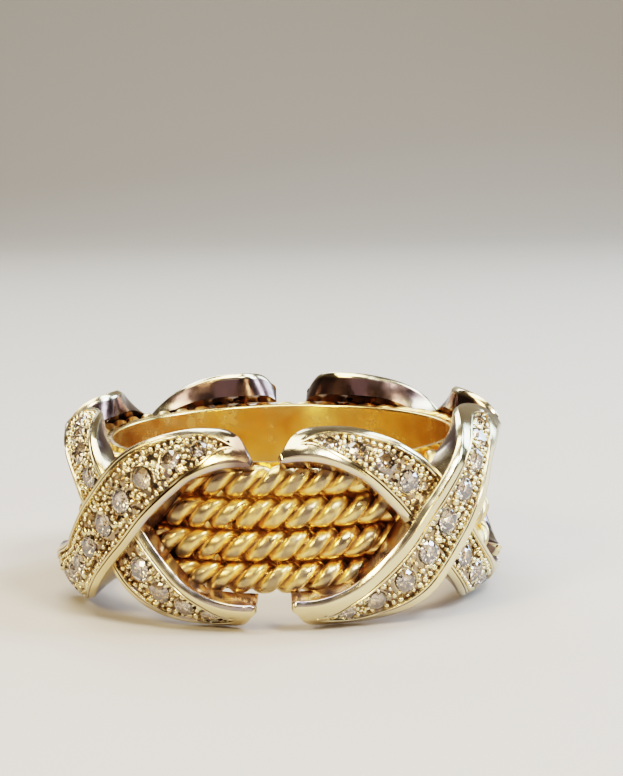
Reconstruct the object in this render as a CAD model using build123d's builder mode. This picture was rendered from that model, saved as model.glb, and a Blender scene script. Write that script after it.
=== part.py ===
from build123d import *

import os
from collections import namedtuple
from math import copysign, cos, exp, hypot, pi, radians, sin

# A finger ring lying on its side: its axis is Z, and its front faces -Y.
# Lengths are in millimetres and angles in degrees.

# The smooth inner band and the finger's bore
BORE_DIAMETER = 17.0
BAND_WALL = 0.34
BAND_EDGE = 0.12

# The four twisted ropes, each of two strands
ROPE_COUNT = 4
ROPE_DIAMETER = 1.50
ROPE_TURNS = 26
STEPS_PER_TURN = 8
# Each rope's twist runs ahead of the one below it by this share of a turn
ROPE_LEAD = 0.19

# The crosses' crown: flat in the middle, rounded over both edges of the ropes
CROSS_COUNT = 4
ARM_RISE = 0.85
ARM_DEPTH = 1.20
CROWN_FLAT = 2.45
CROWN_ROUND = 2.30

# The arms' S-shaped path, from the crossing to the tip
CREST_ANGLE = 38.0
REACH_ANGLE = 41.2
OVER_SWING = 4.45
OVER_HALF_WIDTH = 1.55
UNDER_SWING = 4.60
UNDER_HALF_WIDTH = 1.40
OVERPASS_LIFT = 0.50
OVERPASS_ANGLE = 16.0

# The sunk field between an arm's two rails
WINDOW_RAIL = 0.50
FIELD_DEPTH = 0.22

# The round stones and their drilled seats
STONE_DIAMETER = 1.20
STONE_TABLE = 0.57
STONE_CROWN = 0.15
STONE_PAVILION = 0.40
STONE_SIDES = 8
GIRDLE_DEPTH = 0.17
SEAT_HOLE = 0.46

# Gaps left between neighbouring pieces
METAL_GAP = 0.03
STONE_GAP = 0.04

# Sizes that follow from the ones above
BAND_RADIUS = BORE_DIAMETER / 2 + BAND_WALL
ROPE_RADIUS = ROPE_DIAMETER / 2
ROPE_PITCH = ROPE_DIAMETER + METAL_GAP
ROPE_CENTRE = BAND_RADIUS + METAL_GAP + ROPE_RADIUS
OUTER_ROPE = (ROPE_COUNT - 1) / 2 * ROPE_PITCH
BAND_HALF = OUTER_ROPE + ROPE_RADIUS
CROWN_RADIUS = ROPE_CENTRE + ROPE_RADIUS + METAL_GAP + ARM_RISE

# A rope's cut face, in shares of the rope's radius: along the line through both strands, and across it
ropeCorner = namedtuple("ropeCorner", "along across")
ROPE_SECTION = [
    ropeCorner(1.00, 0.00),
    ropeCorner(0.58, 0.66),
    ropeCorner(0.00, 0.30),
    ropeCorner(-0.58, 0.66),
    ropeCorner(-1.00, 0.00),
    ropeCorner(-0.58, -0.66),
    ropeCorner(0.00, -0.30),
    ropeCorner(0.58, -0.66),
]

# Half an arm: share of the way to the tip, shares of the arm's half width on the side of the open window
# and on the outer side, and the width of the outer rim beside the sunk field
armSection = namedtuple("armSection", "reach window outer rim")
ARM_SECTIONS = [
    armSection(0.00, 1.10, 1.10, 0.50),
    armSection(0.25, 0.93, 1.20, 0.55),
    armSection(0.50, 0.78, 1.26, 0.69),
    armSection(0.68, 0.75, 1.20, 0.76),
    armSection(0.80, 0.75, 0.90, 0.70),
    armSection(0.89, 0.76, 0.36, 0.60),
    armSection(0.96, 0.76, -0.26, 0.50),
    armSection(1.00, 0.70, -0.60, 0.45),
]

# Half a sunk field: share of the way to the arm's tip, and how much of the width between the rails it fills
fieldSection = namedtuple("fieldSection", "reach fill")
FIELD_SECTIONS = [
    fieldSection(0.00, 1.00),
    fieldSection(0.25, 1.00),
    fieldSection(0.50, 0.97),
    fieldSection(0.66, 0.85),
    fieldSection(0.76, 0.55),
    fieldSection(0.82, 0.25),
]

# The stones of half an arm: share of the way to the tip, and share of the largest diameter
stoneSeat = namedtuple("stoneSeat", "reach size")
OVER_STONES = [
    stoneSeat(0.000, 1.00),
    stoneSeat(0.160, 0.97),
    stoneSeat(0.318, 0.93),
    stoneSeat(0.480, 0.86),
    stoneSeat(0.645, 0.76),
]
UNDER_STONES = [
    stoneSeat(0.245, 0.95),
    stoneSeat(0.390, 0.91),
    stoneSeat(0.535, 0.84),
    stoneSeat(0.680, 0.75),
]

# Step along an arm, as a share of it, over which its direction is measured
PATH_STEP = 1e-3

arm = namedtuple("arm", "slope swing half_width lift stones")
OVER_ARM = arm(1, OVER_SWING, OVER_HALF_WIDTH, OVERPASS_LIFT, OVER_STONES)
UNDER_ARM = arm(-1, UNDER_SWING, UNDER_HALF_WIDTH, 0.0, UNDER_STONES)


def both_ways(rows):
    """The rows of half an arm, mirrored, so that they run from one tip to the other."""
    mirrored = [row._replace(reach=-row.reach) for row in reversed(rows) if row.reach > 0]
    return mirrored + rows


def row_at(rows, reach, column):
    """A column of a table of sections, read between its rows."""
    reach = min(abs(reach), rows[-1].reach)
    for low, high in zip(rows, rows[1:]):
        if reach <= high.reach:
            part = (reach - low.reach) / (high.reach - low.reach)
            return getattr(low, column) + part * (getattr(high, column) - getattr(low, column))


def crown_profile(across, height):
    """Radius and level of a point over the crown, by how far across the ring it lies from the middle plane."""
    bend = min(max(abs(across) - CROWN_FLAT, 0) / CROWN_ROUND, pi / 2)
    past_edge = max(abs(across) - CROWN_FLAT - CROWN_ROUND * pi / 2, 0)
    radius = CROWN_RADIUS - CROWN_ROUND * (1 - cos(bend)) - past_edge + height * cos(bend)
    level = min(abs(across), CROWN_FLAT) + (CROWN_ROUND + height) * sin(bend)
    return radius, copysign(level, across)


def path(shape, reach):
    """Where an arm's middle line lies: along and across the ring."""
    angle = reach * REACH_ANGLE
    return CROWN_RADIUS * radians(angle), shape.slope * shape.swing * sin(pi / 2 * angle / CREST_ANGLE)


def lift(shape, reach):
    """How far an arm stands over the crown where it crosses the other one."""
    return shape.lift * exp(-((reach * REACH_ANGLE / OVERPASS_ANGLE) ** 4))


def sides(shape, reach):
    """How far an arm's upper and lower edges are from its middle line."""
    window = shape.half_width * row_at(ARM_SECTIONS, reach, "window")
    outer = shape.half_width * row_at(ARM_SECTIONS, reach, "outer")
    return (outer, window) if shape.slope * reach > 0 else (window, outer)


def field_sides(shape, reach, fill):
    """How far the sunk field's upper and lower edges are from the arm's middle line."""
    upper, lower = sides(shape, reach)
    rim = row_at(ARM_SECTIONS, reach, "rim")
    middle = (WINDOW_RAIL + rim) / 2
    change = min(abs(reach) / ARM_SECTIONS[1].reach, 1) * (WINDOW_RAIL - rim) / 2
    towards_window = copysign(change, shape.slope * reach)
    upper -= middle - towards_window
    lower -= middle + towards_window
    centre, half = (upper - lower) / 2, (upper + lower) / 2 * fill
    return half + centre, half - centre


def place(shape, reach, offset):
    """Along and across the ring, of a place on an arm at an offset from its middle line to its upper side."""
    back = path(shape, reach - PATH_STEP)
    ahead = path(shape, reach + PATH_STEP)
    length = hypot(ahead[0] - back[0], ahead[1] - back[1])
    along, across = path(shape, reach)
    along -= offset * (ahead[1] - back[1]) / length
    across += offset * (ahead[0] - back[0]) / length
    return along, across


def half_width():
    """How far the widest place of the crosses is from the ring's middle plane."""
    found = []
    for shape in (OVER_ARM, UNDER_ARM):
        for share in range(1, 100):
            reach = copysign(share / 100, shape.slope)
            upper, lower = sides(shape, reach)
            found.append(crown_profile(place(shape, reach, upper)[1], 0)[1])
    return max(found)


MIDDLE = half_width()


def arm_point(shape, reach, offset, height):
    """A point of an arm at the front: its share of the arm, its offset to the upper side and its height."""
    along, across = place(shape, reach, offset)
    radius, level = crown_profile(across, height + lift(shape, reach))
    turn = along / CROWN_RADIUS
    return Vector(radius * sin(turn), -radius * cos(turn), MIDDLE + level)


def arm_plane(shape, reach, offset=0.0, height=0.0):
    """The plane square to an arm: X runs to the arm's upper side and Y outwards from the ring."""
    tangent = arm_point(shape, reach + PATH_STEP, 0, 0) - arm_point(shape, reach - PATH_STEP, 0, 0)
    origin = arm_point(shape, reach, offset, height)
    outwards = arm_point(shape, reach, offset, height + 1) - origin
    return Plane(origin, x_dir=outwards.cross(tangent), z_dir=tangent)


def section_sketch(shape, reach, upper, lower, top, bottom):
    """An arm's cut face: two edges that follow the crown, joined by two straight walls."""
    plane = arm_plane(shape, reach)
    middle = (upper - lower) / 2
    corners = []
    for height in (top, bottom):
        for offset in (-lower, middle, upper):
            local = plane.to_local_coords(arm_point(shape, reach, offset, height))
            corners.append((local.X, local.Y))
    top_low, top_middle, top_high, base_low, base_middle, base_high = corners
    with BuildSketch(plane) as sketch:
        with BuildLine():
            ThreePointArc(top_low, top_middle, top_high)
            Line(top_high, base_high)
            ThreePointArc(base_high, base_middle, base_low)
            Line(base_low, top_low)
        make_face()
    return sketch.sketch


def make_arm(shape):
    """One arm of a cross with its sunk field, before it is fitted over the ropes."""
    with BuildPart() as body:
        faces = []
        for row in both_ways(ARM_SECTIONS):
            upper, lower = sides(shape, row.reach)
            faces.append(section_sketch(shape, row.reach, upper, lower, 0, -ARM_DEPTH))
        loft(sections=faces)
        faces = []
        for row in both_ways(FIELD_SECTIONS):
            upper, lower = field_sides(shape, row.reach, row.fill)
            faces.append(section_sketch(shape, row.reach, upper, lower, ARM_DEPTH, -FIELD_DEPTH))
        loft(sections=faces, mode=Mode.SUBTRACT)
    return body.part


def seat_planes(shape):
    """The girdle plane and the diameter of each stone of an arm."""
    found = []
    for seat in both_ways(shape.stones):
        upper, lower = field_sides(shape, seat.reach, 1.0)
        square = arm_plane(shape, seat.reach, (upper - lower) / 2, -GIRDLE_DEPTH)
        plane = Plane(square.origin, x_dir=square.z_dir, z_dir=square.y_dir)
        found.append((plane, STONE_DIAMETER * seat.size))
    return found


def make_stone(plane, diameter):
    """A round brilliant with a table, a crown of flat facets and a pavilion that ends in a point."""
    radius = diameter / 2
    with BuildSketch(plane) as girdle:
        RegularPolygon(radius, STONE_SIDES)
    with BuildSketch(plane.offset(STONE_CROWN * diameter)) as table:
        RegularPolygon(radius * STONE_TABLE, STONE_SIDES)
    culet = Vertex(*(plane.origin - plane.z_dir * STONE_PAVILION * diameter))
    with BuildPart() as stone:
        loft(sections=[culet, girdle.sketch, table.sketch], ruled=True)
    return stone.part


def make_seat(plane, diameter):
    """What is drilled away for a stone: a straight mouth, a cone under the girdle and a through hole."""
    mouth = diameter / 2 + STONE_GAP
    hole = SEAT_HOLE * diameter / 2
    cone = STONE_PAVILION * diameter * (1 - hole / mouth)
    with BuildPart() as seat:
        with BuildSketch(Plane(plane.origin, x_dir=plane.x_dir, z_dir=-plane.y_dir)):
            with BuildLine():
                Polyline(
                    (0, ARM_RISE),
                    (mouth, ARM_RISE),
                    (mouth, -STONE_GAP),
                    (hole, -STONE_GAP - cone),
                    (hole, -ARM_DEPTH),
                    (0, -ARM_DEPTH),
                    close=True,
                )
            make_face()
        revolve(axis=Axis(plane.origin, plane.z_dir))
    return seat.part


def make_band():
    """The smooth inside of the ring."""
    with BuildPart() as band:
        with BuildSketch(Plane.XY.offset(MIDDLE - BAND_HALF)):
            Circle(BAND_RADIUS)
            Circle(BORE_DIAMETER / 2, mode=Mode.SUBTRACT)
        extrude(amount=2 * BAND_HALF)
        bore_edges = band.edges().filter_by(GeomType.CIRCLE).filter_by(lambda edge: edge.radius < BAND_RADIUS)
        fillet(bore_edges, BAND_EDGE)
    return band.part


def rope_corners(level, lead, share):
    """The corners of a rope's cut face at a share of the way round the ring."""
    turn = 2 * pi * share
    twist = 2 * pi * (ROPE_TURNS * share + lead)
    corners = []
    for corner in ROPE_SECTION:
        out = ROPE_RADIUS * (corner.along * cos(twist) - corner.across * sin(twist))
        up = ROPE_RADIUS * (corner.along * sin(twist) + corner.across * cos(twist))
        radius = ROPE_CENTRE + out
        corners.append(Vector(radius * sin(turn), -radius * cos(turn), level + up))
    return corners


def make_rope(level, lead):
    """Two strands laid round each other and closed into a ring, in flat facets."""
    steps = ROPE_TURNS * STEPS_PER_TURN
    rings = [rope_corners(level, lead, step / steps) for step in range(steps)]
    facets = []
    for here, ahead in zip(rings, rings[1:] + rings[:1]):
        for corner in range(len(ROPE_SECTION)):
            near, far = here[corner - 1], ahead[corner - 1]
            next_near, next_far = here[corner], ahead[corner]
            facets.append(Face(Wire.make_polygon([near, next_near, far])))
            facets.append(Face(Wire.make_polygon([next_near, next_far, far])))
    with BuildPart() as rope:
        add(Solid(Shell(facets)))
    return rope.part


def make_rope_room():
    """What the crosses leave free for the ropes: their outline with a gap round it."""
    side = ROPE_RADIUS + METAL_GAP
    shoulder = OUTER_ROPE + side * cos(pi / 4)
    with BuildPart() as room:
        with BuildSketch(Plane.XZ):
            with BuildLine():
                Line((ROPE_CENTRE + side, MIDDLE - OUTER_ROPE), (ROPE_CENTRE + side, MIDDLE + OUTER_ROPE))
                ThreePointArc(
                    (ROPE_CENTRE + side, MIDDLE + OUTER_ROPE),
                    (ROPE_CENTRE + side * sin(pi / 4), MIDDLE + shoulder),
                    (ROPE_CENTRE, MIDDLE + OUTER_ROPE + side),
                )
                Polyline(
                    (ROPE_CENTRE, MIDDLE + OUTER_ROPE + side),
                    (0, MIDDLE + OUTER_ROPE + side),
                    (0, MIDDLE - OUTER_ROPE - side),
                    (ROPE_CENTRE, MIDDLE - OUTER_ROPE - side),
                )
                ThreePointArc(
                    (ROPE_CENTRE, MIDDLE - OUTER_ROPE - side),
                    (ROPE_CENTRE + side * sin(pi / 4), MIDDLE - shoulder),
                    (ROPE_CENTRE + side, MIDDLE - OUTER_ROPE),
                )
            make_face()
        revolve(axis=Axis.Z)
    return room.part


def make_cross():
    """A cross at the front of the ring: two soldered arms, fitted over the ropes and drilled for the stones."""
    with BuildPart() as cross:
        add(make_arm(UNDER_ARM))
        add(make_arm(OVER_ARM))
        add(make_rope_room(), mode=Mode.SUBTRACT)
        for shape in (UNDER_ARM, OVER_ARM):
            for plane, diameter in seat_planes(shape):
                add(make_seat(plane, diameter), mode=Mode.SUBTRACT)
    return cross.part


def make_stones():
    """The loose stones of a cross at the front of the ring."""
    with BuildPart() as stones:
        for shape in (UNDER_ARM, OVER_ARM):
            for plane, diameter in seat_planes(shape):
                add(make_stone(plane, diameter))
    return stones.part


def write(piece, name):
    """Labels a finished piece and writes it."""
    piece.label = name
    export_step(piece, f"parts/{name}.step")


os.makedirs("parts", exist_ok=True)
write(make_band(), "inner_band")

for number in range(1, ROPE_COUNT + 1):
    rope_level = MIDDLE - OUTER_ROPE + (number - 1) * ROPE_PITCH
    write(make_rope(rope_level, (number - 1) * ROPE_LEAD), f"rope_{number}")

front_cross = make_cross()
front_stones = make_stones()
for number in range(1, CROSS_COUNT + 1):
    angle = 360 / CROSS_COUNT * (number - 1.5)
    with BuildPart() as cross:
        with Locations(Rotation(0, 0, angle)):
            add(front_cross)
    with BuildPart() as stones:
        with Locations(Rotation(0, 0, angle)):
            add(front_stones)
    write(cross.part, f"cross_{number}")
    write(stones.part, f"stones_{number}")

widest = (CROWN_RADIUS + OVERPASS_LIFT) * 2
print(f"bore {BORE_DIAMETER:.2f}, widest {widest:.2f}, width {2 * MIDDLE:.2f}")
print(f"band {2 * BAND_HALF:.2f} wide, crown radius {CROWN_RADIUS:.2f}")
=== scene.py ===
import math
from collections import namedtuple

import bmesh
import bpy
import numpy as np
from mathutils import Matrix, Vector


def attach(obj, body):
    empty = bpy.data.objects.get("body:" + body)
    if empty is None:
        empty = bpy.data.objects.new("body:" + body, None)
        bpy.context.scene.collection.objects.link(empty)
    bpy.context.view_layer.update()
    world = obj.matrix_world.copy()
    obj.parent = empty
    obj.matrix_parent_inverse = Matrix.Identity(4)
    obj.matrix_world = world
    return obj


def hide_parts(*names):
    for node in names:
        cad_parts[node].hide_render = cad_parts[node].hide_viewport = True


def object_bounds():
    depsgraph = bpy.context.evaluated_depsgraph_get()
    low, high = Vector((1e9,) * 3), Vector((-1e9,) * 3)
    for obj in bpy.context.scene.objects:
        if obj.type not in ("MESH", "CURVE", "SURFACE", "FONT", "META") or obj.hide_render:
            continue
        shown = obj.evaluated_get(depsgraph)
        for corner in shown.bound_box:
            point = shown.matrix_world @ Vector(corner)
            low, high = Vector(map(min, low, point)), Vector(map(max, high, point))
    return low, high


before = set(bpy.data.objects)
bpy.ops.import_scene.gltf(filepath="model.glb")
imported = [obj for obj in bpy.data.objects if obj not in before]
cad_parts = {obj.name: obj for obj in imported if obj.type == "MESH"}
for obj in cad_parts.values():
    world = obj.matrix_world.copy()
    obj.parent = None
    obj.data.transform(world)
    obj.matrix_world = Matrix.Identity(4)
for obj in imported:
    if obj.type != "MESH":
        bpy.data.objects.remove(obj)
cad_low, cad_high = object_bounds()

# Lengths are in metres, in the frame of the ring: its axis is Z and its front faces -Y.
MM = 0.001
BODY = "root"
SHARP_ANGLE = math.radians(50)

# The smooth inner band
BORE_RADIUS = 8.50 * MM
BAND_RADIUS = 8.84 * MM
BAND_EDGE = 0.12 * MM
BAND_SIDES = 192
BAND_EDGE_STEPS = 7

# The ropes
ROPE_COUNT = 4
ROPE_RADIUS = 0.75 * MM
ROPE_PITCH = 1.53 * MM
ROPE_TURNS = 26
ROPE_LEAD = 0.19
ROPE_START = 0.25
ROPE_GAP = 0.03 * MM
ROPE_CENTRE = BAND_RADIUS + ROPE_GAP + ROPE_RADIUS
OUTER_ROPE = (ROPE_COUNT - 1) / 2 * ROPE_PITCH
BAND_HALF = OUTER_ROPE + ROPE_RADIUS
ROPE_WAIST = 0.38
ROPE_FULLNESS = 3.3
ROPE_SAMPLES = 30
ROPE_SIDES = 28
TWIST_WAY = -1
# Shares of a rope's radius from its core: where the painted shade in the clefts sets in and is darkest, where
# crests set in and get the most painted grey reflection, and how far towards the outside they have to lie for
# that
ROPE_PAINTED_SHADE = (0.82, 0.42)
ROPE_CREST = (0.93, 0.99)
ROPE_FRONT = (0.55, 0.90)

# The crosses' crown
CROSS_COUNT = 4
ARM_RISE = 0.85 * MM
ARM_DEPTH = 1.20 * MM
CROWN_FLAT = 2.45 * MM
CROWN_ROUND = 2.30 * MM
CROWN_RADIUS = ROPE_CENTRE + ROPE_RADIUS + ROPE_GAP + ARM_RISE

# The arms
CREST_ANGLE = math.radians(38.0)
REACH_ANGLE = math.radians(41.2)
OVERPASS_ANGLE = math.radians(16.0)
FIELD_DEPTH = 0.22 * MM
FIELD_WALL = 0.05 * MM
FIELD_WALL_SHARE = 0.2
# The bevel along an arm's edges: inset from the edge and drop from the top
RAIL_BEVEL = [(0.0, 0.20 * MM), (0.02 * MM, 0.17 * MM), (0.16 * MM, 0.03 * MM), (0.20 * MM, 0.0)]
RAIL_PARTS = (0.34, 0.67, 1.0)
LINE_INSET = 0.07 * MM
LINE_WIDTH = 0.09 * MM
LINE_DEPTH = 0.07 * MM
WALL_FLARE = 0.10 * MM
WALL_STEPS = (0.12, 0.45, 0.8)
TIP_ROUND = 0.25 * MM
ARM_STEPS = 330
FIELD_COLUMNS = 36
BASE_COLUMNS = 30
EDGE_COLUMNS = 2
DEPTH_TRIES = 60
# Small steps along an arm and out of it, which tell how it runs and faces
SMALL_REACH = 1e-3
SMALL_HEIGHT = 0.01 * MM

# Where a change along an arm sets in and where it is whole. Reach is 0 at an arm's middle and 1 at its tips
LEFT_END = (0.0, 0.7)
LEFT_LIFT_RISES = (0.2, 0.7)
LEFT_LIFT_FALLS = (0.8, 1.05)
# The next three set where walls by the window get painted shade and a painted grey reflection, where outer
# walls near the tips get painted shade, and where the upper tips get painted shade
WINDOW_WALL = (0.0, 0.3)
TIP_WALL = (0.55, 0.85)
SHADED_TIP = (0.74, 0.90)
# The same by how full the sunk field is, by how wide the arm is and by how far from the ring's middle plane
FIELD_OPENS = (0.0, 0.25)
FLARE_OPENS = (0.0, 0.6)
# Past the ropes, an arm's walls and back get painted shade
PAST_ROPES = (BAND_HALF - 0.2 * MM, BAND_HALF + 0.4 * MM)

# How much painted shade the white metal gets, from 0 where it has none to 1 in its deepest clefts
FIELD_SHADE = 0.75
LINE_SHADE = 0.2
SEAT_SHADE = 0.3
BACK_SHADE = 0.9
WALL_SHADE = 0.2
WALL_FOOT_SHADE = 0.5
WINDOW_WALL_SHADE = 0.2
TIP_WALL_SHADE = 0.45

# The stones
STONE_DIAMETER = 1.20 * MM
STONE_TABLE = 0.57
STONE_STAR = 0.40
STONE_KEEL = 0.11
STONE_CROWN = 0.15
STONE_PAVILION = 0.40
STONE_FOLD = 8
GIRDLE_THICK = 0.02
GIRDLE_DEPTH = 0.17 * MM
STONE_GAP = 0.03 * MM
SEAT_DEPTH = 0.62 * MM
SEAT_EDGE = 0.05 * MM
HOLE_SHARE = 0.46
HOLE_EDGE = 0.04 * MM
HOLE_SINK = 0.04 * MM

# The beads that hold them
BEAD_RADIUS = 0.14 * MM
BEAD_INSET = 0.19 * MM
BEAD_PITCH = 0.34 * MM
BEAD_RAISE = 0.3
BEAD_VARIATION = 0.8
BEAD_SIDES = 8
BEAD_RINGS = 5
FIELD_END = 0.84
PAIR_SPREAD = 0.45
PAIR_SIZE = 1.1
LOOSE_BEADS = 1500
LOOSE_SIZES = (0.55, 1.35)
HIDDEN_REACH = 0.16
# The room to a stone and to the middle of the next bead, as a share of the bead's radius
STONE_ROOM = 0.35
BEAD_ROOM = 0.85

# The looks of the metals: two tones, least and most roughness, height of the scratches, scale and depth of
# the dents, tone and depth of the painted shade in clefts and recesses, tone of the painted grey reflection,
# and scale and tilt of the bright cuts
metalLook = namedtuple(
    "metalLook", "clean second rough scratch dents dark depth rubbed cuts",
    defaults=((0, 0, 0), 0.0, (0, 0, 0), None),
)
METALS = {
    "yellow_gold": metalLook(
        clean=(0.99, 0.68, 0.27), second=(0.94, 0.57, 0.19), rough=(0.24, 0.40), scratch=2.0e-6,
        dents=(2400.0, 16.0), dark=(0.52, 0.43, 0.36), depth=0.85, rubbed=(0.36, 0.26, 0.15),
    ),
    "band_gold": metalLook(
        clean=(0.93, 0.64, 0.25), second=(0.90, 0.58, 0.20), rough=(0.16, 0.30), scratch=2.0e-6,
        dents=(1200.0, 3.0),
    ),
    "white_metal": metalLook(
        clean=(0.86, 0.72, 0.44), second=(0.79, 0.63, 0.37), rough=(0.12, 0.26), scratch=2.0e-6,
        dents=(1500.0, 9.0), dark=(0.16, 0.09, 0.08), depth=0.95, rubbed=(0.50, 0.45, 0.50),
        cuts=(3400.0, 0.9),
    ),
    "bead_metal": metalLook(
        clean=(0.97, 0.84, 0.54), second=(0.86, 0.70, 0.42), rough=(0.12, 0.24), scratch=1.0e-6,
        dents=(5000.0, 40.0),
    ),
}
# Scales of the patterns on the metals, and the part of their range that counts
CLOUD_SCALE = 420.0
CLOUD_RANGE = (0.40, 0.62)
GREY_REFLECTION_SCALE = 1300.0
GREY_REFLECTION_RANGE = (0.28, 0.54)
PATCH_RANGE = (0.35, 0.68)
SCRATCH_STRETCH = (1.0, 1.0, 0.16)
SCRATCH_TURN = (0.5, 0.3, 0.0)
# The stones' tints
STONE_CLOUD_SCALE = 700.0
STONE_TINTS = ((0.90, 0.77, 0.62, 1), (0.78, 0.60, 0.47, 1))
STONE_IOR = 2.42

# The camera, as found from the photograph
PHOTO_HEIGHT = 776
SENSOR = 36
FOCAL_PIXELS = 2367
CAMERA_DISTANCE = 120 * MM
CAMERA_ELEVATION = 10.9
CAMERA_AZIMUTH = 3.05
CAMERA_ROLL = -1.1
CAMERA_AIM = (1.52 * MM, 5.15 * MM)
CAMERA_CLIPS = (0.005, 10)

# The floor
FLOOR_FRONT = -0.6
FLOOR_BACK = 0.35
FLOOR_HALF = 0.8
SWEEP_RADIUS = 0.15
SWEEP_TOP = 0.5
SWEEP_STEPS = 17
FLOOR_COLOUR = (0.50, 0.45, 0.39, 1)
FLOOR_ROUGHNESS = 0.7

# The lights, which all face the ring's middle. One without a height is square
softbox = namedtuple("softbox", "name place size power colour height", defaults=(None,))
SOFTBOXES = [
    softbox("top_softbox", (-0.03, 0.0, 0.22), 0.14, 0.55, (1.0, 0.92, 0.78)),
    softbox("cool_top", (0.10, 0.06, 0.18), 0.08, 0.22, (0.68, 0.82, 1.0)),
    softbox("key_right", (0.09, -0.10, 0.16), 0.05, 0.35, (0.95, 0.97, 1.0)),
    softbox("cool_side", (0.17, -0.01, 0.10), 0.04, 0.34, (0.55, 0.74, 1.0), 0.10),
    softbox("front_fill", (0.0, -0.32, 0.10), 0.30, 0.08, (0.92, 0.78, 0.92), 0.16),
    softbox("warm_left", (-0.10, -0.14, 0.14), 0.05, 0.32, (1.0, 0.78, 0.45)),
    softbox("warm_right", (0.15, -0.12, 0.03), 0.03, 0.06, (1.0, 0.78, 0.45)),
    softbox("back_rim", (-0.05, 0.16, 0.12), 0.08, 0.15, (0.78, 0.88, 1.0)),
    softbox("cool_back", (0.15, 0.13, 0.07), 0.10, 0.34, (0.52, 0.74, 1.0)),
]
WORLD_COLOUR = (0.62, 0.50, 0.36, 1)
WORLD_STRENGTH = 0.10

# The arms' shape. Window and outer are shares of half the width, rim is the width of the outer rim
armSection = namedtuple("armSection", "reach window outer rim")
ARM_SECTIONS = [
    armSection(0.00, 1.10, 1.10, 0.50 * MM),
    armSection(0.25, 0.93, 1.20, 0.55 * MM),
    armSection(0.50, 0.78, 1.26, 0.69 * MM),
    armSection(0.68, 0.75, 1.20, 0.76 * MM),
    armSection(0.80, 0.75, 0.90, 0.70 * MM),
    armSection(0.89, 0.76, 0.36, 0.60 * MM),
    armSection(0.96, 0.76, -0.26, 0.50 * MM),
    armSection(1.00, 0.70, -0.60, 0.45 * MM),
]
fieldSection = namedtuple("fieldSection", "reach fill")
FIELD_SECTIONS = [
    fieldSection(0.00, 1.00),
    fieldSection(0.50, 0.97),
    fieldSection(0.64, 0.84),
    fieldSection(0.72, 0.56),
    fieldSection(0.80, 0.20),
    fieldSection(0.86, 0.00),
]
stoneSeat = namedtuple("stoneSeat", "reach size")
OVER_STONES = [
    stoneSeat(0.000, 1.00),
    stoneSeat(0.160, 0.97),
    stoneSeat(0.318, 0.93),
    stoneSeat(0.480, 0.86),
    stoneSeat(0.645, 0.76),
]
UNDER_STONES = [
    stoneSeat(0.245, 0.95),
    stoneSeat(0.390, 0.91),
    stoneSeat(0.535, 0.84),
    stoneSeat(0.680, 0.75),
]
# An arm has a way to slope, a swing across the band, half a width, a lift where it crosses the other arm, and
# stones. Sizes given for each arm set how far round it reaches, the width of the rail by the window, how much
# of the outer rim is left, how soon the field narrows, how far it runs, and how much painted shade darkens
# the upper tip. A size whose name starts with left_ holds at the arm's left end, and None means the same as
# elsewhere
HAND_WORK = dict(
    reach=1.0, rail=0.50 * MM, rim=1.0, taper=1.0, run=1.0, tip_tone=0.25, left_swing=None, left_lift=0.0,
    left_reach=None, left_rail=None, left_rim=None, left_taper=None, left_run=None,
)
arm = namedtuple(
    "arm", ["slope", "swing", "half_width", "lift", "stones", *HAND_WORK], defaults=HAND_WORK.values()
)
OVER_ARM = arm(1, 4.45 * MM, 1.55 * MM, 0.50 * MM, OVER_STONES)
UNDER_ARM = arm(-1, 4.60 * MM, 1.40 * MM, 0.0, UNDER_STONES)
# What differs, one by one, on the upper and lower arm of each cross
OVER_WORK = [
    dict(
        rail=0.38 * MM, rim=0.8, left_rim=0.4, left_taper=0.4, left_run=1.07, left_swing=3.42 * MM,
        left_lift=0.30 * MM, tip_tone=0.95,
    ),
    dict(rail=0.80 * MM, rim=1.3, taper=1.7),
    dict(rail=0.46 * MM, rim=0.9, taper=1.2, left_swing=4.35 * MM),
    dict(rail=0.56 * MM, rim=1.1, taper=1.5, left_swing=4.50 * MM),
]
UNDER_WORK = [
    dict(left_rail=0.32 * MM, left_rim=0.35, left_taper=0.4, left_run=1.09),
    dict(rim=0.7, left_rim=1.0, left_reach=1.07),
    dict(left_reach=1.02),
    dict(left_reach=0.99),
]

# The ring's middle plane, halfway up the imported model
MIDDLE = (cad_low.z + cad_high.z) / 2


def arms_of(number):
    """The lower and the upper arm of one cross."""
    under, over = UNDER_WORK[number - 1], OVER_WORK[number - 1]
    return UNDER_ARM._replace(**under), OVER_ARM._replace(**over)


def smoothstep(low, high, value):
    """A smooth rise from 0 at low to 1 at high."""
    part = np.clip((value - low) / (high - low), 0, 1)
    return part * part * (3 - 2 * part)


def towards_left(shape, reach, name):
    """A size of an arm, which may be another one at its left end."""
    here, there = getattr(shape, name), getattr(shape, "left_" + name)
    return here if there is None else here + (there - here) * smoothstep(*LEFT_END, -reach)


def table_value(rows, reach, column):
    """A column of a table of sections, read smoothly between its rows."""
    xs = np.array([row.reach for row in rows])
    ys = np.array([getattr(row, column) for row in rows])
    slopes = np.gradient(ys, xs)
    slopes[0] = 0
    x = np.clip(np.abs(reach), xs[0], xs[-1])
    low = np.clip(np.searchsorted(xs, x, side="right") - 1, 0, len(xs) - 2)
    span = xs[low + 1] - xs[low]
    part = (x - xs[low]) / span
    return (
        ys[low] * (1 + 2 * part) * (1 - part) ** 2
        + slopes[low] * span * part * (1 - part) ** 2
        + ys[low + 1] * part ** 2 * (3 - 2 * part)
        + slopes[low + 1] * span * part ** 2 * (part - 1)
    )


def crown_profile(across, height):
    """Radius and level of places over the crown."""
    away = np.abs(across)
    bend = np.clip((away - CROWN_FLAT) / CROWN_ROUND, 0, math.pi / 2)
    past_edge = np.maximum(away - CROWN_FLAT - CROWN_ROUND * math.pi / 2, 0)
    radius = CROWN_RADIUS - CROWN_ROUND * (1 - np.cos(bend)) - past_edge + height * np.cos(bend)
    level = np.minimum(away, CROWN_FLAT) + (CROWN_ROUND + height) * np.sin(bend)
    return radius, np.where(across < 0, -level, level)


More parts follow.
